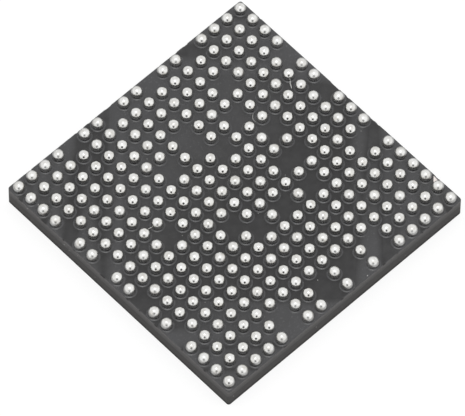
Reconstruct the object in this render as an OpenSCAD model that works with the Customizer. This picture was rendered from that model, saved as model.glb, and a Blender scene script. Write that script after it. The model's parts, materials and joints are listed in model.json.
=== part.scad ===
// Fine-pitch ball grid array package with a wire-bonded die, lying on its moulding with the balls up.
// Origin: centre of the flat marking face. +Z points from the moulding to the balls.
// +X points from ball row V to row A, and +Y from ball 1 to ball 18 of a row.

/* [Ball grid] */
// Distance between the centres of neighbouring balls
ball_pitch = 0.5; // [0.46:0.01:0.8]
// Widest diameter of a reflowed solder ball
ball_d = 0.35; // [0.32:0.01:0.42]
// Diameter of the round openings in the solder mask on the ball side
ball_opening_d = 0.3; // [0.2:0.01:0.31]
// Width of the ring of each copper pad that the solder mask covers
pad_overlap = 0.035; // [0.02:0.005:0.05]

/* [Package outline] */
// From the centres of the outermost balls to the sawn sides
edge_margin = 0.23; // [0.2:0.01:0.6]
// Radius of the four upright corners
corner_r = 0.08; // [0.02:0.01:0.28]
// Height of the moulding over the laminate
mould_t = 0.425; // [0.4:0.005:0.9]

/* [Laminate] */
// Thickness of the glass and resin core
core_t = 0.2; // [0.1:0.01:0.6]
// Thickness of the copper foil on both sides of the core
copper_t = 0.015; // [0.01:0.001:0.03]
// Thickness of the solder mask over the foil
mask_t = 0.02; // [0.01:0.001:0.03]
// Diameter of the plated holes through the core
via_d = 0.1; // [0.06:0.01:0.16]
// Width of the copper ring around each plated hole on the die side
land_ring = 0.05; // [0.02:0.01:0.06]

/* [Die] */
// Width of the silicon die along X
die_w = 5.2; // [3:0.1:5.4]
// Length of the silicon die along Y
die_l = 5; // [3:0.1:5.4]
// Thickness of the silicon die
die_t = 0.15; // [0.08:0.01:0.17]
// Thickness of the adhesive film under the die
attach_t = 0.02; // [0.01:0.005:0.03]

/* [Wire bonds] */
// Number of bond wires on each side of the die
wires_per_side = 30; // [6:1:34]
// Diameter of the bond wire
wire_d = 0.02; // [0.015:0.001:0.03]
// Height of the wire loop over the die
loop_h = 0.09; // [0.06:0.005:0.11]
// Diameter of the flattened ball at the die end of a wire
wire_ball_d = 0.05; // [0.04:0.005:0.06]
// Thickness of that flattened ball
wire_ball_t = 0.012; // [0.008:0.001:0.02]
// From the edge of the die to the centres of its bond pads
die_pad_inset = 0.08; // [0.06:0.01:0.2]
// Width of a bond finger on the laminate
finger_w = 0.1; // [0.06:0.01:0.12]
// Distance between the centres of neighbouring bond fingers
finger_pitch = 0.2; // [0.15:0.01:0.21]
// Gap between a bond finger and the copper rings beside it
finger_gap = 0.05; // [0.03:0.01:0.06]
// From the outer end of a bond finger to the end of its wire
stitch_inset = 0.05; // [0.04:0.005:0.06]

/* [Index mark] */
// Length of the two equal sides of the triangular mark beside ball A2
mark_side = 0.175; // [0.1:0.005:0.18]
// From the sawn side to the nearest side of the mark
mark_inset = 0.03; // [0.02:0.005:0.04]
// Width of the bare laminate around the mark
mark_clearance = 0.012; // [0.005:0.001:0.015]
// Gap between that bare laminate and the pad of ball A2
mark_gap = 0.008; // [0.005:0.001:0.02]

/* [Hidden] */
$fn = 48;

// Ball map: one line for each lettered row, ball 1 first, a dot where the grid has no ball
ball_map = [
    ["A", "oooooo.ooo.oo.oooo"],
    ["B", "oooooo.ooooooooooo"],
    ["C", "oooooooooooooooooo"],
    ["D", "oooooooooooooooooo"],
    ["E", "oooooooo.o.ooo.oo."],
    ["F", "..oooo.o.ooo.ooooo"],
    ["G", "oooooooooooooooooo"],
    ["H", "..oooo.oooo.ooooo."],
    ["J", "oooooooooooo..oooo"],
    ["K", "..oooo.ooooooooooo"],
    ["L", "ooooooo.oooo.oooo."],
    ["M", "oooooooooooooooooo"],
    ["N", "..oooooooooooooooo"],
    ["P", "ooooooooo.ooooooo."],
    ["R", "oooooooooooooooooo"],
    ["T", "oooooooooooooooooo"],
    ["U", "oooooooooooooooooo"],
    ["V", "oooo.oo.oo.oo.oooo"]
];
grid_n = len(ball_map);
grid_half = (grid_n - 1) / 2;

// Heights from the marking face
skin_t = copper_t + mask_t;
core_z = mould_t + skin_t;
foil_z = core_z + core_t;
face_z = foil_z + skin_t;

// Plan sizes
body_w = 2 * (grid_half * ball_pitch + edge_margin);
pad_d = ball_opening_d + 2 * pad_overlap;
land_d = via_d + 2 * land_ring;
ball_rise = sqrt(pow(ball_d / 2, 2) - pow(ball_opening_d / 2, 2));

// Ring of bond fingers, halfway between two lines of plated holes
finger_lines = 7;
finger_ring = finger_lines * ball_pitch;
finger_l = ball_pitch - land_d - 2 * finger_gap;
window_w = finger_l + finger_gap;

// Heights on the die side, counted from the core towards the marking face
attach_z = skin_t;
die_z = attach_z + attach_t;
die_face_z = die_z + die_t;
bend_z = die_face_z + wire_ball_t / 2;
bend_r = loop_h - wire_ball_t / 2;

// Cutters run past the faces that they cut by this much
cut_over = 0.01;

function row_x(row) = (grid_half - row) * ball_pitch;
function ball_y(number) = (number - grid_half) * ball_pitch;
function has_ball(row, number) = ball_map[row][1][number] == "o";

module package_slab(low_z, high_z) {
    translate([0, 0, low_z])
        linear_extrude(high_z - low_z)
            union() {
                square([body_w - 2 * corner_r, body_w], center = true);
                square([body_w, body_w - 2 * corner_r], center = true);
                for (x = [-1, 1], y = [-1, 1])
                    translate([x, y] * (body_w / 2 - corner_r)) circle(corner_r);
            }
}

// Puts its child at every ball of the map
module at_balls() {
    for (row = [0 : grid_n - 1], number = [0 : grid_n - 1])
        if (has_ball(row, number))
            translate([row_x(row), ball_y(number), 0]) children();
}

// Turns heights counted from the core's die side into heights of the package
module on_die_side() {
    translate([0, 0, core_z]) mirror([0, 0, 1]) children();
}

// Puts its child on each of the four sides of the die, +X first
module at_sides() {
    for (side = [0 : 3]) rotate(90 * side) children();
}

module moulding_colour() { color("#3b3939") children(); }
module copper_colour() { color("#b87b52") children(); }
module mask_colour() { color("#47474a") children(); }
module solder_colour() { color("#d9d9d6") children(); }

// ---- Laminate ----

module laminate_core() {
    color("#6d6a55") difference() {
        package_slab(core_z, foil_z);
        at_balls() translate([0, 0, core_z - cut_over])
            cylinder(h = core_t + 2 * cut_over, d = via_d);
    }
}

module via_barrels() {
    copper_colour() at_balls() translate([0, 0, core_z]) cylinder(h = core_t, d = via_d);
}

module via_lands() {
    copper_colour() on_die_side() at_balls() cylinder(h = copper_t, d = land_d);
}

module ball_pads() {
    copper_colour() at_balls() translate([0, 0, foil_z]) cylinder(h = copper_t, d = pad_d);
}

module ball_side_mask() {
    mask_colour() difference() {
        package_slab(foil_z, face_z);
        at_balls() translate([0, 0, foil_z - cut_over])
            cylinder(h = copper_t + cut_over, d = pad_d);
        at_balls() translate([0, 0, foil_z])
            cylinder(h = skin_t + cut_over, d = ball_opening_d);
        translate([0, 0, foil_z - cut_over])
            mark_shape(mark_clearance, skin_t + 2 * cut_over);
    }
}

// Right-angled triangle beside ball A2, grown by border, with its square corner towards ball A1
module mark_shape(border, h) {
    corner_x = body_w / 2 - mark_inset;
    corner_y = ball_y(1) + pad_d / 2 + mark_gap + mark_clearance;
    tip = mark_side + border * (1 + sqrt(2));
    translate([corner_x, corner_y, 0])
        linear_extrude(h)
            polygon([[border, -border], [border, tip], [-tip, -border]]);
}

module index_mark() {
    copper_colour() translate([0, 0, foil_z]) mark_shape(0, copper_t);
}

// Square ring in which the bond fingers lie bare
module finger_window(low_z, high_z) {
    translate([0, 0, low_z])
        linear_extrude(high_z - low_z)
            difference() {
                square(2 * finger_ring + window_w, center = true);
                square(2 * finger_ring - window_w, center = true);
            }
}

module die_side_mask() {
    mask_colour() difference() {
        package_slab(mould_t, core_z);
        on_die_side() finger_window(-cut_over, skin_t + cut_over);
        on_die_side() translate([0, 0, -cut_over]) at_balls()
            cylinder(h = copper_t + cut_over, d = land_d);
    }
}

module bond_fingers() {
    color("#d8b25a") on_die_side() at_sides()
        for (k = [0 : wires_per_side - 1])
            translate([finger_ring, finger_y(k), copper_t / 2])
                cube([finger_l, finger_w, copper_t], center = true);
}

// ---- Die and wires ----

function finger_y(k) = (k - (wires_per_side - 1) / 2) * finger_pitch;

module die_block(low_z, high_z) {
    translate([0, 0, (low_z + high_z) / 2]) cube([die_w, die_l, high_z - low_z], center = true);
}

module silicon_die() {
    color("#5b6068") on_die_side() die_block(die_z, die_face_z);
}

module die_attach_film() {
    color("#c9c4b0") on_die_side() die_block(attach_z, die_z);
}

// One wire in the plane of X and Z: a flattened ball on the die, a bend that rises out of it
// and a straight run down to a finger that lies span away
module bond_wire(span) {
    run_x = span - bend_r;
    run_z = bend_z - copper_t;
    slope = atan2(run_z, run_x) + asin(bend_r / norm([run_x, run_z]));
    run_l = sqrt(run_x * run_x + run_z * run_z - bend_r * bend_r) + 3 * wire_d;
    translate([0, 0, die_face_z]) cylinder(h = wire_ball_t, d = wire_ball_d);
    translate([bend_r, 0, bend_z]) {
        rotate([90, 0, 0]) rotate(90 - slope)
            rotate_extrude(angle = 90 + slope)
                translate([bend_r, 0]) circle(d = wire_d);
        rotate([0, 90 + slope, 0])
            translate([-bend_r, 0, 0]) cylinder(h = run_l, d = wire_d);
    }
}

// The wires of one side: pads spread over pad_row, at pad_x from the middle of the die
module wire_fan(pad_x, pad_row) {
    for (k = [0 : wires_per_side - 1]) {
        pad_y = (k / (wires_per_side - 1) - 1 / 2) * pad_row;
        reach = [finger_ring + finger_l / 2 - stitch_inset - pad_x, finger_y(k) - pad_y];
        translate([pad_x, pad_y, 0])
            rotate(atan2(reach.y, reach.x)) bond_wire(norm(reach));
    }
}

module wire_set() {
    difference() {
        for (side = [0 : 3])
            rotate(90 * side)
                wire_fan((side % 2 == 0 ? die_w : die_l) / 2 - die_pad_inset,
                    (side % 2 == 0 ? die_l : die_w) - 4 * die_pad_inset);
        translate([0, 0, copper_t - mould_t / 2]) cube([body_w, body_w, mould_t], center = true);
    }
}

module bond_wires() {
    color("#e0b04c") on_die_side() wire_set();
}

// ---- Moulding ----

module mould_cap() {
    moulding_colour() difference() {
        package_slab(0, core_z);
        difference() {
            package_slab(mould_t, core_z + cut_over);
            on_die_side() finger_window(-2 * cut_over, skin_t + cut_over);
        }
        on_die_side() die_block(0, die_face_z);
        on_die_side() wire_set();
        on_die_side() at_sides()
            for (k = [0 : wires_per_side - 1])
                translate([finger_ring, finger_y(k), 0])
                    cube([finger_l, finger_w, 2 * copper_t], center = true);
    }
}

// ---- Solder balls ----

// Solder fills the opening in the mask and stands on it as a cut sphere
module solder_ball() {
    cylinder(h = mask_t, d = ball_opening_d);
    translate([0, 0, mask_t + ball_rise]) intersection() {
        sphere(d = ball_d);
        translate([-ball_d, -ball_d, -ball_rise]) cube([2 * ball_d, 2 * ball_d, 2 * ball_d]);
    }
}

module ball_row(letter) {
    row = [for (k = [0 : grid_n - 1]) if (ball_map[k][0] == letter) k][0];
    solder_colour()
        for (number = [0 : grid_n - 1])
            if (has_ball(row, number))
                translate([row_x(row), ball_y(number), foil_z + copper_t]) solder_ball();
}

module balls_row_a() { ball_row("A"); }
module balls_row_b() { ball_row("B"); }
module balls_row_c() { ball_row("C"); }
module balls_row_d() { ball_row("D"); }
module balls_row_e() { ball_row("E"); }
module balls_row_f() { ball_row("F"); }
module balls_row_g() { ball_row("G"); }
module balls_row_h() { ball_row("H"); }
module balls_row_j() { ball_row("J"); }
module balls_row_k() { ball_row("K"); }
module balls_row_l() { ball_row("L"); }
module balls_row_m() { ball_row("M"); }
module balls_row_n() { ball_row("N"); }
module balls_row_p() { ball_row("P"); }
module balls_row_r() { ball_row("R"); }
module balls_row_t() { ball_row("T"); }
module balls_row_u() { ball_row("U"); }
module balls_row_v() { ball_row("V"); }

mould_cap();
laminate_core();
ball_side_mask();
die_side_mask();
ball_pads();
via_barrels();
via_lands();
bond_fingers();
silicon_die();
die_attach_film();
bond_wires();
index_mark();
balls_row_a();
balls_row_b();
balls_row_c();
balls_row_d();
balls_row_e();
balls_row_f();
balls_row_g();
balls_row_h();
balls_row_j();
balls_row_k();
balls_row_l();
balls_row_m();
balls_row_n();
balls_row_p();
balls_row_r();
balls_row_t();
balls_row_u();
balls_row_v();
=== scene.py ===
import json
import math
import random

import bmesh
import bpy
from mathutils import Matrix, Vector, noise as fieldNoise


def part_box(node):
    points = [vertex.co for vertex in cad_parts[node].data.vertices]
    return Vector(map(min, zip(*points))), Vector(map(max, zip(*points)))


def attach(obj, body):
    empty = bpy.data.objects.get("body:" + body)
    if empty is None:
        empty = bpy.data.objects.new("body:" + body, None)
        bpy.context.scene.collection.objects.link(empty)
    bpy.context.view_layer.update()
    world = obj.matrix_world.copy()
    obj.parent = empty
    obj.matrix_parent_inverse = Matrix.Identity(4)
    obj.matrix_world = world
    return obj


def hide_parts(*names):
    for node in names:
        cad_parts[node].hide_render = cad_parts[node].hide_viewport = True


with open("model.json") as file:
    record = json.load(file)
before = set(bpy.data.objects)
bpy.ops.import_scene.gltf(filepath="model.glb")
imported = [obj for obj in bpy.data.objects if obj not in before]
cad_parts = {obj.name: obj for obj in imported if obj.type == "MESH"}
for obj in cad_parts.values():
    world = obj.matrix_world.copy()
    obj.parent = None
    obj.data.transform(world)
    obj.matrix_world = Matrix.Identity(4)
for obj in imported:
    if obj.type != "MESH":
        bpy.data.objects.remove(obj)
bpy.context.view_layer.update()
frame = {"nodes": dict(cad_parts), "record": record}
nodes = frame["nodes"]
mm = 0.001

ballGrid = next(m for m in frame["record"]["mounts"] if m["name"] == "ball_grid")
pitch = ballGrid["dims"]["spacing_x_mm"] * mm
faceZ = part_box("ball_side_mask")[1].z  # open face of the solder mask
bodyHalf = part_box("mould_cap")[1].x
rowNames = sorted(name for name in nodes if name.startswith("balls_row_"))
print("frame loaded:", len(nodes), "nodes,", len(rowNames), "ball rows")


def linear(hexColour):
    parts = [int(hexColour[k:k + 2], 16) / 255 for k in (1, 3, 5)]
    return tuple(c / 12.92 if c <= 0.04045 else ((c + 0.055) / 1.055) ** 2.4 for c in parts) + (1.0,)


def addNode(tree, kind, settings=None, values=None, links=None):
    node = tree.nodes.new(kind)
    for name, value in (settings or {}).items():
        setattr(node, name, value)
    for name, value in (values or {}).items():
        node.inputs[name].default_value = value
    for name, source in (links or {}).items():
        tree.links.new(source, node.inputs[name])
    return node


def startMaterial(name, **sockets):
    material = bpy.data.materials.new(name)
    material.use_nodes = True
    shader = material.node_tree.nodes["Principled BSDF"]
    for socket, value in sockets.items():
        shader.inputs[socket.replace("_", " ")].default_value = value
    return material, material.node_tree, shader


def objectPoint(tree, stretch=(1, 1, 1)):
    # A larger number packs the pattern tighter along that axis
    place = addNode(tree, "ShaderNodeTexCoord").outputs["Object"]
    if stretch == (1, 1, 1):
        return place
    return addNode(tree, "ShaderNodeMapping", {}, {"Scale": stretch}, {"Vector": place}).outputs["Vector"]


def noise(tree, sizeMm, detail=3, rough=0.5, stretch=(1, 1, 1)):
    values = {"Scale": 1 / (sizeMm * mm), "Detail": detail, "Roughness": rough}
    links = {"Vector": objectPoint(tree, stretch)}
    return addNode(tree, "ShaderNodeTexNoise", {}, values, links).outputs["Fac"]


def ramp(tree, source, low, high, lowValue, highValue):
    # A straight line from lowValue at low to highValue at high, held at both ends
    values = {"From Min": low, "From Max": high, "To Min": lowValue, "To Max": highValue}
    return addNode(tree, "ShaderNodeMapRange", {}, values, {"Value": source}).outputs["Result"]


def mixColour(tree, share, first, second):
    node = addNode(tree, "ShaderNodeMix", {"data_type": "RGBA"}, {}, {"Factor": share})
    for slot, colour in ((6, first), (7, second)):
        if isinstance(colour, tuple):
            node.inputs[slot].default_value = colour
        else:
            tree.links.new(colour, node.inputs[slot])
    return node.outputs[2]


def combine(tree, operation, first, second=None):
    node = addNode(tree, "ShaderNodeMath", {"operation": operation})
    for slot, value in enumerate((first, second)):
        if isinstance(value, (int, float)):
            node.inputs[slot].default_value = value
        elif value is not None:
            tree.links.new(value, node.inputs[slot])
    return node.outputs[0]


def colourShader(tree, shader, colour, roughness):
    tree.links.new(colour, shader.inputs["Base Color"])
    tree.links.new(roughness, shader.inputs["Roughness"])


def bump(tree, shader, height, depthMm):
    values = {"Strength": 1.0, "Distance": depthMm * mm}
    node = addNode(tree, "ShaderNodeBump", {}, values, {"Height": height})
    tree.links.new(node.outputs["Normal"], shader.inputs["Normal"])


def finishPiece(bm, name, material, smooth=True):
    mesh = bpy.data.meshes.new(name)
    bm.to_mesh(mesh)
    bm.free()
    for face in mesh.polygons:
        face.use_smooth = smooth
    piece = bpy.data.objects.new(name, mesh)
    bpy.context.scene.collection.objects.link(piece)
    mesh.materials.append(material)
    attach(piece, "root")
    return piece


def vertsOf(geometry):
    return [item for item in geometry if isinstance(item, bmesh.types.BMVert)]


maskFinish = {
    "colour": "#2d2d30",
    "cloudColour": "#252527",
    "sawnColour": "#585655",  # the film's cut edge, smeared pale by the saw
    "cloudMm": 0.9,
    "chipShadeColour": "#121112",  # painted shade: near black in the chipped notches of the arris, where they lie in shadow
    "dustColour": "#8a8a8c",
    "dustMm": 0.045,
    "roughness": 0.33,
    "peelMm": 0.12,  # width of the dimples that the cured film is left with
    "peelDepthMm": 0.0035,
}


def makeSolderMask():
    # Light-cured epoxy film, screened on and baked: an even dark grey with a soft gloss and a little dust
    look = maskFinish
    material, tree, shader = startMaterial("Solder mask, cured epoxy film", IOR=1.7)
    clouds = ramp(tree, noise(tree, look["cloudMm"], 4), 0.35, 0.65, 0, 1)
    film = mixColour(tree, clouds, linear(look["colour"]), linear(look["cloudColour"]))
    dust = ramp(tree, noise(tree, look["dustMm"], 2, 0.6), 0.6, 0.75, 0, 0.3)
    dusty = mixColour(tree, dust, film, linear(look["dustColour"]))
    sawn = addNode(tree, "ShaderNodeAttribute", {"attribute_name": "sawn"}).outputs["Fac"]
    edged = mixColour(tree, sawn, dusty, linear(look["sawnColour"]))
    # Painted shade: the chipped notches are coloured near black, and made rougher
    chipShade = addNode(tree, "ShaderNodeAttribute", {"attribute_name": "chipShade"}).outputs["Fac"]
    colour = mixColour(tree, chipShade, edged, linear(look["chipShadeColour"]))
    gloss = ramp(tree, noise(tree, look["peelMm"] * 2), 0.3, 0.7, look["roughness"] - 0.05,
                 look["roughness"] + 0.06)
    colourShader(tree, shader, colour, combine(tree, "ADD", gloss, combine(tree, "MULTIPLY", chipShade, 0.4)))
    bump(tree, shader, noise(tree, look["peelMm"], 2), look["peelDepthMm"])
    return material


mouldFinish = {
    "colour": "#514f4e",
    "darkColour": "#3f3e3d",
    "grainColour": "#666463",
    "footShadeColour": "#1e1d1d",  # painted shade: the wall's last stretch above the floor, darkened where it meets the floor
    "rimMm": 0.16,
    "streakMm": 0.02,
    "grainMm": 0.03,  # silica grains that the saw laid open
    "roughness": 0.55,
}


def makeMouldCompound():
    # Silica-filled epoxy moulding compound, transfer moulded and sawn: matt black with fine pale grains
    look = mouldFinish
    material, tree, shader = startMaterial("Epoxy mould compound, sawn", IOR=1.5)
    streaks = ramp(tree, noise(tree, look["streakMm"] * 10, 4, 0.6, (1, 1, 8)), 0.3, 0.7, 0, 1)
    body = mixColour(tree, streaks, linear(look["darkColour"]), linear(look["colour"]))
    grains = ramp(tree, noise(tree, look["grainMm"], 1), 0.66, 0.74, 0, 0.6)
    grained = mixColour(tree, grains, body, linear(look["grainColour"]))
    # Painted shade: the wall is coloured darker over its foot, from just above the marking face up to rimMm,
    # next to the floor
    height = addNode(tree, "ShaderNodeSeparateXYZ", {}, {}, {"Vector": objectPoint(tree)}).outputs["Z"]
    flat = 0.002 * mm  # the marking face itself keeps the body colour
    low = combine(tree, "MULTIPLY", ramp(tree, height, flat, look["rimMm"] * mm, 1, 0),
                  ramp(tree, height, 0, flat, 0, 1))
    colour = mixColour(tree, low, grained, linear(look["footShadeColour"]))
    colourShader(tree, shader, colour,
                 ramp(tree, streaks, 0, 1, look["roughness"] - 0.06, look["roughness"] + 0.08))
    bump(tree, shader, noise(tree, look["grainMm"], 3), 0.002)
    return material


laminateFinish = {
    "colour": "#5c5a59",
    "darkColour": "#444342",
    "paleColour": "#686665",
    "lowShare": 0.7,  # how much darker the cut gets towards its foot
    "yarnMm": 0.05,  # thickness of a glass yarn in the cloth
    "roughness": 0.5,
}


def makeLaminate():
    # Glass cloth in dark resin, sawn: mid grey with yarns that run along the cut
    look = laminateFinish
    material, tree, shader = startMaterial("Glass and resin laminate, sawn", IOR=1.55)
    yarns = ramp(tree, noise(tree, look["yarnMm"] * 8, 4, 0.6, (1, 1, 8)), 0.3, 0.7, 0, 1)
    pits = ramp(tree, noise(tree, look["yarnMm"], 3), 0.58, 0.7, 0, 0.8)
    body = mixColour(tree, yarns, linear(look["colour"]), linear(look["paleColour"]))
    height = addNode(tree, "ShaderNodeSeparateXYZ", {}, {}, {"Vector": objectPoint(tree)}).outputs["Z"]
    # The cut is coloured darker towards its foot, from 0.6 mm down to 0.42 mm
    footDarkening = ramp(tree, height, 0.42 * mm, 0.6 * mm, look["lowShare"], 0)
    pitted = mixColour(tree, pits, body, linear(look["darkColour"]))
    colourShader(tree, shader, mixColour(tree, footDarkening, pitted, linear(look["darkColour"])),
                 ramp(tree, yarns, 0, 1, look["roughness"] - 0.05, look["roughness"] + 0.1))
    bump(tree, shader, yarns, 0.002)
    return material


solderFinish = {
    "colour": "#e6e6e4",
    "tarnishColour": "#cfcdc8",
    "smooth": 0.07,
    "frosted": 0.33,
    "grainMm": 0.05,
    "grainDepthMm": 0.0022,
}


def makeSolder():
    # Reflowed tin-silver-copper solder: bright, its skin frozen smooth on some balls and frosty on others
    look = solderFinish
    material, tree, shader = startMaterial("Solder, reflowed tin alloy", Metallic=1.0)
    film = ramp(tree, noise(tree, look["grainMm"] * 3, 3), 0.45, 0.7, 0, 1)
    frost = addNode(tree, "ShaderNodeAttribute", {"attribute_name": "frost"}).outputs["Fac"]
    colourShader(tree, shader, mixColour(tree, film, linear(look["colour"]), linear(look["tarnishColour"])),
                 ramp(tree, frost, 0, 1, look["smooth"], look["frosted"]))
    bump(tree, shader, noise(tree, look["grainMm"], 3), look["grainDepthMm"])
    return material


def makePlain(name, colour, roughness, metallic=0.0):
    # Parts that the moulding hides: a plain tone with faint clouds
    material, tree, shader = startMaterial(name, Metallic=metallic)
    shade = ramp(tree, noise(tree, 0.1, 4), 0.3, 0.7, 0, 1)
    dim = tuple(0.8 * c for c in linear(colour)[:3]) + (1.0,)
    colourShader(tree, shader, mixColour(tree, shade, linear(colour), dim),
                 ramp(tree, shade, 0, 1, roughness, roughness + 0.1))
    return material


solderMask = makeSolderMask()
mouldCompound = makeMouldCompound()
laminate = makeLaminate()
solder = makeSolder()
copper = makePlain("Copper foil, etched", "#b4664a", 0.35, 1.0)  # reddish, dulled by the etch
gold = makePlain("Gold, bonding wire and plating", "#d9a84a", 0.25, 1.0)  # warm and bright
plating = makePlain("Nickel and gold flash over foil", "#f6eeea", 0.25, 1.0)  # near white, faintly pink
silicon = makePlain("Silicon, ground and polished", "#55595f", 0.15)  # cool dark grey
adhesive = makePlain("Die attach film, cured", "#b9b39f", 0.5)  # dull cream
lint = makePlain("Cellulose lint", "#c9c9c6", 0.8)  # soft pale grey dust from wipes
tinDebris = makePlain("Solder splinter, bright tin", "#e2e2df", 0.25, 1.0)  # catches the light

nodeFinish = {
    "mould_cap": mouldCompound,
    "laminate_core": laminate,
    "ball_side_mask": solderMask,
    "die_side_mask": solderMask,
    "ball_pads": copper,
    "via_barrels": copper,
    "via_lands": copper,
    "bond_fingers": gold,
    "bond_wires": gold,
    "silicon_die": silicon,
    "die_attach_film": adhesive,
    "index_mark": copper,
}
for nodeName, finish in nodeFinish.items():
    nodes[nodeName].data.materials.clear()
    nodes[nodeName].data.materials.append(finish)
print("finishes made:", len(bpy.data.materials))


ballShape = {
    "radiusMm": 0.175,
    "footMm": 0.15,  # radius of the opening that the ball fills
    "neckMm": 0.02,  # depth of that opening
    "segments": 16,
    "rings": 9,
    "spread": 0.012,  # how far balls differ in width and height
    "ripple": 0.006,  # unevenness of the frozen skin, as a share of the radius
    "rippleMm": 0.09,
    "dentShare": 0.25,  # balls that a test socket has pressed
    "dentDepth": 0.04,
    "seed": 18,
}


def makeBallTemplate():
    # One ball on the origin, its foot closed and its neck reaching down through the mask
    shape = ballShape
    radius, foot = shape["radiusMm"] * mm, shape["footMm"] * mm
    rise = math.sqrt(radius ** 2 - foot ** 2)
    bm = bmesh.new()
    bmesh.ops.create_uvsphere(bm, u_segments=shape["segments"], v_segments=shape["rings"], radius=radius)
    bmesh.ops.translate(bm, verts=bm.verts, vec=(0, 0, rise))
    cut = bmesh.ops.bisect_plane(bm, geom=bm.verts[:] + bm.edges[:] + bm.faces[:], plane_co=(0, 0, 0),
                                 plane_no=(0, 0, 1), clear_inner=True)
    rim = [edge for edge in cut["geom_cut"] if isinstance(edge, bmesh.types.BMEdge)]
    neck = bmesh.ops.extrude_edge_only(bm, edges=rim)["geom"]
    bmesh.ops.translate(bm, verts=vertsOf(neck), vec=(0, 0, -shape["neckMm"] * mm))
    bmesh.ops.holes_fill(bm, edges=[edge for edge in bm.edges if edge.is_boundary])
    bmesh.ops.recalc_face_normals(bm, faces=bm.faces)
    mesh = bpy.data.meshes.new("ballTemplate")
    bm.to_mesh(mesh)
    bm.free()
    return mesh


def ballPlaces(rowName):
    # Where the row's balls stand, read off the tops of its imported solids
    low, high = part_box(rowName)
    top = high.z - 0.01 * mm
    steps = {round(v.co.y / pitch - 0.5) for v in nodes[rowName].data.vertices if v.co.z > top}
    return [Vector(((low.x + high.x) / 2, (step + 0.5) * pitch, faceZ)) for step in sorted(steps)]


def roughenBall(verts, centre, draws):
    # Lets the skin ripple and, on some balls, presses one flat
    shape = ballShape
    radius = shape["radiusMm"] * mm
    shift = Vector((draws.uniform(0, 100), draws.uniform(0, 100), draws.uniform(0, 100)))
    turn, lean = draws.uniform(0, 2 * math.pi), draws.uniform(0.2, 1.4)
    towards = Vector((math.cos(turn) * math.sin(lean), math.sin(turn) * math.sin(lean), math.cos(lean)))
    reach = radius * (1 - draws.uniform(0.3, 1) * shape["dentDepth"])
    dented = draws.random() < shape["dentShare"]
    for vert in verts:
        if vert.co.z < faceZ + 0.01 * mm:
            continue
        out = vert.co - centre
        field = fieldNoise.noise(out / (shape["rippleMm"] * mm) + shift)
        vert.co += out * (field * shape["ripple"])
        past = (vert.co - centre).dot(towards) - reach
        if dented and past > 0:
            vert.co -= towards * past


def makeBallRow(rowName, template, draws):
    shape = ballShape
    bm = bmesh.new()
    frost = bm.verts.layers.float.new("frost")
    count = len(template.vertices)
    rise = math.sqrt(shape["radiusMm"] ** 2 - shape["footMm"] ** 2) * mm
    for place in ballPlaces(rowName):
        bm.from_mesh(template)
        bm.verts.ensure_lookup_table()
        verts = bm.verts[-count:]
        wide = 1 + draws.uniform(-shape["spread"], shape["spread"])
        tall = 1 + draws.uniform(-shape["spread"], 0)
        turn = Matrix.Rotation(draws.uniform(0, 2 * math.pi), 4, "Z")
        bmesh.ops.transform(bm, matrix=Matrix.Translation(place) @ turn @ Matrix.Diagonal((wide, 1, tall, 1)),
                            verts=verts)
        roughenBall(verts, place + Vector((0, 0, rise)), draws)
        outer = bodyHalf - max(abs(place.x), abs(place.y)) < pitch
        share = draws.uniform(0.6, 1) if outer else draws.random() ** 0.7
        for vert in verts:
            vert[frost] = share
    piece = finishPiece(bm, rowName.replace("balls", "solder_balls"), solder)
    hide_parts(rowName)
    return piece


ballDraws = random.Random(ballShape["seed"])
ballTemplate = makeBallTemplate()
ballRows = [makeBallRow(name, ballTemplate, ballDraws) for name in rowNames]
allPlaces = [place for name in rowNames for place in ballPlaces(name)]
bpy.data.meshes.remove(ballTemplate)
print("solder balls:", len(allPlaces), "in", len(ballRows), "rows")


chipWear = {
    "cornerMm": 0.08,
    "cornerSteps": 6,
    "cornerDepthMm": 0.003,
    "stepMm": 0.03,  # between points of the arris that can break back
    "windowMm": 0.012,  # bare strip around the index mark
    "easedMm": 0.002,  # how far the broken arris lies under the face
    "shoulderMm": 0.012,  # and how far in from it the face starts
    "ragMm": 0.006,  # raggedness between the chips: its depth and its length along the arris
    "ragLengthMm": 0.06,
    "chipShadeMm": 0.01,  # chips deeper than this get painted shade
    # Chips on the two sides towards the viewer: side, place along it, length and depth in mm
    "chips": [("left", 3.95, 0.22, 0.034), ("left", 3.0, 0.30, 0.04), ("left", 2.2, 0.12, 0.026),
              ("left", 1.75, 0.14, 0.03), ("left", 0.6, 0.26, 0.04), ("left", -0.4, 0.14, 0.03),
              ("left", -0.9, 0.12, 0.026), ("left", -1.55, 0.2, 0.034), ("left", -2.6, 0.12, 0.026),
              ("left", -3.5, 0.16, 0.03), ("front", 4.0, 0.3, 0.045), ("front", 3.17, 0.14, 0.03),
              ("front", 2.95, 0.08, 0.034), ("front", 1.98, 0.1, 0.026), ("front", 1.47, 0.14, 0.034),
              ("front", 0.3, 0.1, 0.024), ("front", -0.15, 0.14, 0.034), ("front", -2.3, 0.2, 0.028),
              ("front", -3.4, 0.12, 0.026)],
    "hiddenChips": 22,  # more of them, spread over the other two sides
    "seed": 7,
}


def allChips():
    wear = chipWear
    draws = random.Random(wear["seed"])
    spread = [(draws.choice(("right", "back")), draws.uniform(-4.2, 4.2), draws.uniform(0.08, 0.26),
               draws.uniform(0.022, 0.04)) for _ in range(wear["hiddenChips"])]
    return wear["chips"] + spread


def chipDepth(side, along, chips):
    # How far the arris has broken back at this place, in metres
    wear = chipWear
    row = ("left", "front", "right", "back").index(side) * 9
    rag = abs(fieldNoise.noise(Vector((along / wear["ragLengthMm"], row, 0))))
    depth = wear["ragMm"] * rag
    for chipSide, middle, length, deep in chips:
        offset = abs(along - middle) / (length / 2)
        if chipSide == side and offset < 1:
            depth = max(depth, deep * (1 - offset ** 2) * (0.75 + 0.5 * rag))
    return depth * mm


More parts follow.
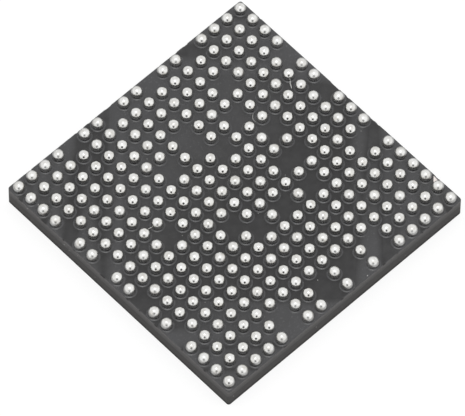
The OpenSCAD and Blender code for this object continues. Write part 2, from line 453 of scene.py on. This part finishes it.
def arrisPoints(chips):
    # Once round the outline: place, outward direction, how deep the arris is broken there
    wear = chipWear
    radius = wear["cornerMm"] * mm
    straight = bodyHalf - radius
    count = round(2 * straight / (wear["stepMm"] * mm))
    points = []
    for side, turn in (("front", 0), ("right", 1), ("back", 2), ("left", 3)):
        heading = Matrix.Rotation(math.pi / 2 * turn, 3, "Z")
        outward = heading @ Vector((0, -1, 0))
        for k in range(count + 1):
            place = heading @ Vector((-straight + 2 * straight * k / count, -bodyHalf, 0))
            along = place.x if side in ("front", "back") else place.y
            points.append((place, outward, chipDepth(side, along / mm, chips)))
        middle = heading @ Vector((straight, -straight, 0))
        for k in range(1, wear["cornerSteps"]):
            around = Matrix.Rotation(math.pi / 2 * k / wear["cornerSteps"], 3, "Z") @ outward
            points.append((middle + around * radius, around, wear["cornerDepthMm"] * mm))
    return points


def makeChippedMask():
    # The film as one closed plate, which the balls' necks pass through, with the index mark's window
    wear = chipWear
    points = arrisPoints(allChips())
    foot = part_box("ball_side_mask")[0].z
    bm = bmesh.new()
    chipShade = bm.verts.layers.float.new("chipShade")
    sawn = bm.faces.layers.float.new("sawn")

    def ring(back, z, chipShadeShare):
        verts = []
        for place, outward, depth in points:
            vert = bm.verts.new(place - outward * back(depth) + Vector((0, 0, z)))
            # The chips' painted shade, which grows with the depth of the break past the threshold
            vert[chipShade] = chipShadeShare * min(1, max(0, depth / mm / wear["chipShadeMm"] - 1))
            verts.append(vert)
        return verts

    def band(lower, upper):
        pairs = zip(lower, lower[1:] + lower[:1], upper[1:] + upper[:1], upper)
        return [bm.faces.new(quad) for quad in pairs]

    def loopEdges(verts):
        return [bm.edges.get(pair) or bm.edges.new(pair) for pair in zip(verts, verts[1:] + verts[:1])]

    low = ring(lambda depth: 0, foot, 0.9)
    arris = ring(lambda depth: depth, faceZ - wear["easedMm"] * mm, 1)
    inner = ring(lambda depth: depth + wear["shoulderMm"] * mm, faceZ, 0.9)
    for face in band(low, arris):
        face[sawn] = 1
    band(arris, inner)
    markLow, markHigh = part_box("index_mark")
    gap = wear["windowMm"] * mm
    tip = gap * (1 + math.sqrt(2))
    corners = [(markHigh.x + gap, markLow.y - gap), (markHigh.x + gap, markHigh.y + tip),
               (markLow.x - tip, markLow.y - gap)]
    window = [[bm.verts.new((x, y, z)) for x, y in corners] for z in (foot, faceZ)]
    band(window[0], window[1])
    bmesh.ops.triangle_fill(bm, use_beauty=True, edges=loopEdges(inner) + loopEdges(window[1]))
    bmesh.ops.triangle_fill(bm, use_beauty=True, edges=loopEdges(low) + loopEdges(window[0]))
    bmesh.ops.recalc_face_normals(bm, faces=bm.faces)
    mask = finishPiece(bm, "chipped_mask", solderMask, smooth=False)
    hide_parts("ball_side_mask")
    return mask


mask = makeChippedMask()
print("solder mask:", len(mask.data.polygons), "faces")


collarShape = {
    "insideMm": 0.15,
    "shoulderMm": 0.192,
    "footMm": 0.228,
    "heightMm": 0.011,
    "segments": 24,
}


def makeCollars():
    shape = collarShape
    bm = bmesh.new()
    inside, shoulder, foot = (shape[k] * mm for k in ("insideMm", "shoulderMm", "footMm"))
    height = shape["heightMm"] * mm
    # Section of the collar: inner wall down in the opening, level top, slope to the face, closed below it
    section = [(inside, -height / 2), (inside, height * 0.8), (shoulder, height), (foot, 0),
               (foot, -height / 2)]
    start = [bm.verts.new((x, 0, z)) for x, z in section]
    rims = [bm.edges.new((a, b)) for a, b in zip(start, start[1:] + start[:1])]
    bmesh.ops.spin(bm, geom=start + rims, cent=(0, 0, 0), axis=(0, 0, 1), dvec=(0, 0, 0),
                   angle=2 * math.pi, steps=shape["segments"], use_merge=True)
    bmesh.ops.remove_doubles(bm, verts=bm.verts, dist=1e-8)
    bmesh.ops.recalc_face_normals(bm, faces=bm.faces)
    for edge in bm.edges:
        first, second = edge.verts
        edge.smooth = abs(first.co.xy.length - second.co.xy.length) > 1e-8 or first.co.z != second.co.z
    ring = bpy.data.meshes.new("collarTemplate")
    bm.to_mesh(ring)
    bm.free()
    bm = bmesh.new()
    for place in allPlaces:
        bm.from_mesh(ring)
        bm.verts.ensure_lookup_table()
        bmesh.ops.translate(bm, verts=bm.verts[-len(ring.vertices):], vec=place)
    bpy.data.meshes.remove(ring)
    return finishPiece(bm, "mask_collars", solderMask)


collars = makeCollars()
print("mask collars:", len(collars.data.polygons), "faces")


markShape = {
    "rimMm": 0.011,  # copper left bare around the plating
    "platingMm": 0.004,
}


def makeMarkPlating():
    shape = markShape
    low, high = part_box("index_mark")
    bm = bmesh.new()
    corners = [(high.x, low.y, high.z), (high.x, high.y, high.z), (low.x, low.y, high.z)]
    face = bm.faces.new([bm.verts.new(corner) for corner in corners])
    bmesh.ops.inset_region(bm, faces=[face], thickness=shape["rimMm"] * mm, depth=0)
    bmesh.ops.delete(bm, geom=[f for f in bm.faces if f is not face], context="FACES")
    grown = bmesh.ops.extrude_face_region(bm, geom=[face])["geom"]
    bmesh.ops.translate(bm, verts=vertsOf(grown), vec=(0, 0, shape["platingMm"] * mm))
    bmesh.ops.recalc_face_normals(bm, faces=bm.faces)
    return finishPiece(bm, "mark_plating", plating, smooth=False)


makeMarkPlating()


dirt = {
    "fibre": [(15.87, 5.28), (15.70, 5.42), (15.62, 5.60), (15.53, 5.74)],  # ball places right and down
    "fibreMm": 0.034,
    "hair": [(12.55, 5.95), (12.55, 5.72), (12.68, 5.55), (12.86, 5.42)],
    "hairMm": 0.016,
    "splinter": [(3.42, 6.84), (3.72, 6.90), (4.05, 7.0)],
    "splinterMm": 0.026,
    # Specks on the face: right, down and width in mm
    "specks": [(0.08, 1.5, 0.04), (10.25, 17.33, 0.045), (8.05, 15.65, 0.028), (4.55, 8.45, 0.03),
               (8.6, 10.3, 0.024), (12.3, 12.6, 0.024), (9.35, 17.1, 0.022), (14.6, 15.5, 0.022),
               (2.55, 12.4, 0.022), (6.5, 3.5, 0.022), (11.4, 9.55, 0.024), (16.45, 10.4, 0.022)],
    # Specks on the side walls: side, place along it, height and width in mm
    "wallSpecks": [("front", -1.14, 0.33, 0.03), ("front", -4.3, 0.33, 0.034), ("left", 1.95, 0.42, 0.045),
                   ("left", 2.15, 0.5, 0.035), ("left", 3.66, 0.6, 0.034), ("left", 1.6, 0.58, 0.03),
                   ("front", 0.2, 0.55, 0.025), ("left", 0.9, 0.25, 0.022), ("front", 2.3, 0.2, 0.02)],
    "seed": 5,
}


def gridPoint(right, down, z):
    # A point in ball places, counted from ball V18: right to row A, down to ball 1
    last = (len(rowNames) - 1) / 2
    return Vector(((right - last) * pitch, (last - down) * pitch, z))


def makeStrand(name, places, widthMm, lift, material):
    # A thin thread that lies on the face along a few places, drawn in at both ends
    radius = widthMm * mm / 2
    path = [gridPoint(right, down, faceZ + radius * 0.8 + lift * mm * (k % 2)) for k, (right, down) in
            enumerate(places)]
    curve = bpy.data.curves.new(name + "Route", "CURVE")
    curve.dimensions = "3D"
    curve.bevel_depth = radius
    curve.bevel_resolution = 1
    curve.resolution_u = 6
    curve.use_fill_caps = True
    spline = curve.splines.new("NURBS")
    spline.points.add(len(path) - 1)
    spline.use_endpoint_u = True
    spline.order_u = 3
    for point, place in zip(spline.points, path):
        point.co = (*place, 1)
    spline.points[0].radius = 0.6
    spline.points[-1].radius = 0.5
    route = bpy.data.objects.new(name + "Route", curve)
    bpy.context.scene.collection.objects.link(route)
    mesh = route.evaluated_get(bpy.context.evaluated_depsgraph_get()).to_mesh()
    bm = bmesh.new()
    bm.from_mesh(mesh)
    bpy.data.objects.remove(route)
    bpy.data.curves.remove(curve)
    bmesh.ops.remove_doubles(bm, verts=bm.verts, dist=1e-8)
    bmesh.ops.recalc_face_normals(bm, faces=bm.faces)
    return finishPiece(bm, name, material)


def makeSpecks(name, places, material):
    # Angular crumbs: low icospheres pulled out of shape
    draws = random.Random(dirt["seed"])
    bm = bmesh.new()
    for place, outward, widthMm in places:
        flat = Matrix.Diagonal((draws.uniform(0.8, 1.3), draws.uniform(0.6, 1), 0.45, 1))
        spin = Matrix.Rotation(draws.uniform(0, math.pi), 4, "Z")
        stand = outward.to_track_quat("Z", "Y").to_matrix().to_4x4()
        made = bmesh.ops.create_icosphere(bm, subdivisions=1, radius=widthMm * mm / 2,
                                          matrix=Matrix.Translation(place) @ stand @ spin @ flat)
        for vert in made["verts"]:
            vert.co += outward * draws.uniform(-0.1, 0.1) * widthMm * mm
    return finishPiece(bm, name, material)


def speckPlaces():
    up = Vector((0, 0, 1))
    places = [(gridPoint(right, down, faceZ), up, width) for right, down, width in dirt["specks"]]
    for side, along, high, width in dirt["wallSpecks"]:
        if side == "left":
            outward, place = Vector((-1, 0, 0)), Vector((-bodyHalf, along * mm, high * mm))
        else:
            outward, place = Vector((0, -1, 0)), Vector((along * mm, -bodyHalf, high * mm))
        places.append((place, outward, width))
    return places


makeStrand("lint_fibre", dirt["fibre"], dirt["fibreMm"], 0.004, lint)
makeStrand("lint_hair", dirt["hair"], dirt["hairMm"], 0.006, lint)
makeStrand("solder_splinter", dirt["splinter"], dirt["splinterMm"], 0.002, tinDebris)
makeSpecks("dust_specks", speckPlaces(), lint)
print("dirt laid")


stageSetup = {
    "floorColour": "#ececec",
    "floorBounce": "#b0b0b0",  # its shade in reflections, as under a small light tent
    "floorSpanMm": 3000,
    "floorSeen": 0.25,  # share of its own shade that the floor keeps for the camera
    "floorGlow": 0.8,  # and the white that it gains there
    "skyBack": 0.97,  # brightness of the surround behind the part
    "skyFront": 1.15,  # and towards the viewer
    "frontAzimuth": -20,  # the way that is brightest
    "lampHeightMm": 300,
    "lampLeanMm": (-26, -12),  # off the part's middle, towards the viewer
    "lampRadiusMm": 60,
    "lampPower": 0.095,
    "gapAzimuth": -44,  # dark gap in the white surround, on the viewer's side
    "gapElevation": 30,
    "gapInner": 12,
    "gapOuter": 25,
    "gapLevel": 0.02,
}


def directionTo(azimuth, elevation):
    a, e = math.radians(azimuth), math.radians(elevation)
    return Vector((math.sin(a) * math.cos(e), -math.cos(a) * math.cos(e), math.sin(e)))


def makeFloor():
    setup = stageSetup
    bm = bmesh.new()
    bmesh.ops.create_grid(bm, x_segments=1, y_segments=1, size=setup["floorSpanMm"] * mm / 2)
    mesh = bpy.data.meshes.new("floor")
    bm.to_mesh(mesh)
    bm.free()
    floor = bpy.data.objects.new("floor", mesh)
    bpy.context.scene.collection.objects.link(floor)
    material, tree, shader = startMaterial("Floor, white paper", Roughness=0.9)
    shader.inputs["Emission Color"].default_value = (1, 1, 1, 1)
    seen = addNode(tree, "ShaderNodeLightPath").outputs["Is Camera Ray"]
    paper = linear(setup["floorColour"])
    dimmed = tuple(c * setup["floorSeen"] for c in paper[:3]) + (1.0,)
    bounce = linear(setup["floorBounce"])
    tree.links.new(mixColour(tree, seen, bounce, dimmed), shader.inputs["Base Color"])
    tree.links.new(combine(tree, "MULTIPLY", seen, setup["floorGlow"]), shader.inputs["Emission Strength"])
    mesh.materials.append(material)


def makeWorld():
    # A white surround, brighter in front, with one dark gap towards the viewer, as a studio has
    setup = stageSetup
    world = bpy.data.worlds.new("studio")
    bpy.context.scene.world = world
    world.use_nodes = True
    tree = world.node_tree
    background = tree.nodes["Background"]
    direction = addNode(tree, "ShaderNodeTexCoord").outputs["Generated"]

    def nearness(towards):
        settings = {"operation": "DOT_PRODUCT"}
        node = addNode(tree, "ShaderNodeVectorMath", settings, {1: towards}, {0: direction})
        return node.outputs["Value"]

    front = nearness(directionTo(setup["frontAzimuth"], 0))
    surround = ramp(tree, front, -0.6, 0.6, setup["skyBack"], setup["skyFront"])
    gap = nearness(directionTo(setup["gapAzimuth"], setup["gapElevation"]))
    outer, inner = math.cos(math.radians(setup["gapOuter"])), math.cos(math.radians(setup["gapInner"]))
    level = combine(tree, "MULTIPLY", surround, ramp(tree, gap, outer, inner, 1, setup["gapLevel"]))
    seen = addNode(tree, "ShaderNodeLightPath").outputs["Is Camera Ray"]
    white = addNode(tree, "ShaderNodeMix", {"data_type": "FLOAT"}, {"B": 1.0}, {"Factor": seen, "A": level})
    tree.links.new(white.outputs["Result"], background.inputs["Strength"])
    background.inputs["Color"].default_value = (1, 1, 1, 1)


def makeLamp():
    setup = stageSetup
    lamp = bpy.data.lights.new("overhead", "AREA")
    lamp.shape = "DISK"
    lamp.size = 2 * setup["lampRadiusMm"] * mm
    lamp.energy = setup["lampPower"]
    holder = bpy.data.objects.new("overhead", lamp)
    bpy.context.scene.collection.objects.link(holder)
    leanX, leanY = setup["lampLeanMm"]
    holder.location = (leanX * mm, leanY * mm, setup["lampHeightMm"] * mm)


cameraSetup = {
    "azimuth": -43.965,
    "elevation": 59.858,
    "roll": 0.541,
    "distanceMm": 213.55,
    "lensMm": 594.9,
    "sensorMm": 36,
    "aimMm": (-0.417, -0.350, 0.852),
}


def makeCamera():
    setup = cameraSetup
    camera = bpy.data.cameras.new("viewer")
    camera.lens = setup["lensMm"]
    camera.sensor_width = setup["sensorMm"]
    camera.clip_start = 10 * mm
    camera.clip_end = 10000 * mm
    holder = bpy.data.objects.new("viewer", camera)
    bpy.context.scene.collection.objects.link(holder)
    back = directionTo(setup["azimuth"], setup["elevation"])
    holder.location = Vector(setup["aimMm"]) * mm + back * setup["distanceMm"] * mm
    level = (-back).to_track_quat("-Z", "Y").to_matrix().to_4x4()
    turned = level @ Matrix.Rotation(math.radians(setup["roll"]), 4, "Z")
    holder.rotation_euler = turned.to_euler()
    bpy.context.scene.camera = holder


makeFloor()
makeWorld()
makeLamp()
makeCamera()
bpy.context.scene.view_settings.view_transform = "Standard"
print("stage, light and camera set")
